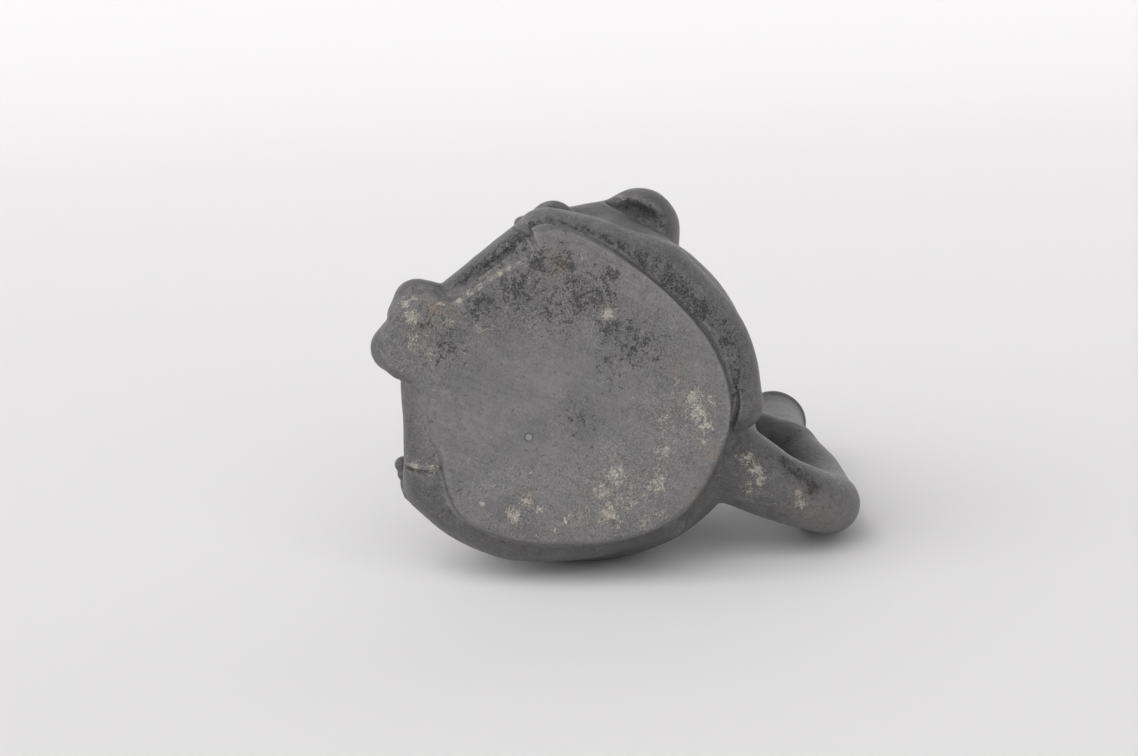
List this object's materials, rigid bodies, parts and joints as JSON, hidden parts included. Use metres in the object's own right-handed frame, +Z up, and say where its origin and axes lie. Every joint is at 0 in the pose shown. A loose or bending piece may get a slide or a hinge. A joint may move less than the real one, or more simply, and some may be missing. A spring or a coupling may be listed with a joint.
{
  "type": "stirrup spout bottle",
  "caption": "Burnished black fired clay bottle shaped as a seated figure, with a hollow stirrup handle and an upright spout behind its back.",
  "frame": {"origin": "middle of the flat base, on the surface that the bottle stands on", "axes": "+Z up along the chamber and the spout, -Y the way the figure faces, +Y towards the stirrup, +X the side of the figure's left hand"},
  "size_m": [0.1602, 0.2026, 0.185],
  "materials": {
    "burnished_clay": "burnished black fired clay, half gloss with streaks from the polishing stone",
    "tube_clay": "burnished black fired clay of the stirrup and spout, slightly darker and smoother",
    "base_clay": "matte grey black fired clay, worn and scratched, with pale earth crust"
  },
  "bodies": {
    "root": {"base_pad": "base_clay", "chamber_front": "burnished_clay", "chamber_back": "burnished_clay", "thigh_left": "burnished_clay", "thigh_right": "burnished_clay", "shin_left": "burnished_clay", "shin_right": "burnished_clay", "foot_left": "burnished_clay", "foot_right": "burnished_clay", "arm_left": "burnished_clay", "arm_right": "burnished_clay", "hand_left": "burnished_clay", "hand_right": "burnished_clay", "stirrup_lower_left": "tube_clay", "stirrup_lower_right": "tube_clay", "stirrup_upper_left": "tube_clay", "stirrup_upper_right": "tube_clay", "spout": "tube_clay", "rim_lip": "tube_clay", "head_front": "burnished_clay", "head_back": "burnished_clay", "cap": "burnished_clay", "headband": "burnished_clay", "ear_left": "burnished_clay", "ear_right": "burnished_clay", "ear_spool_left": "burnished_clay", "ear_spool_right": "burnished_clay"}
  },
  "joints": []
}
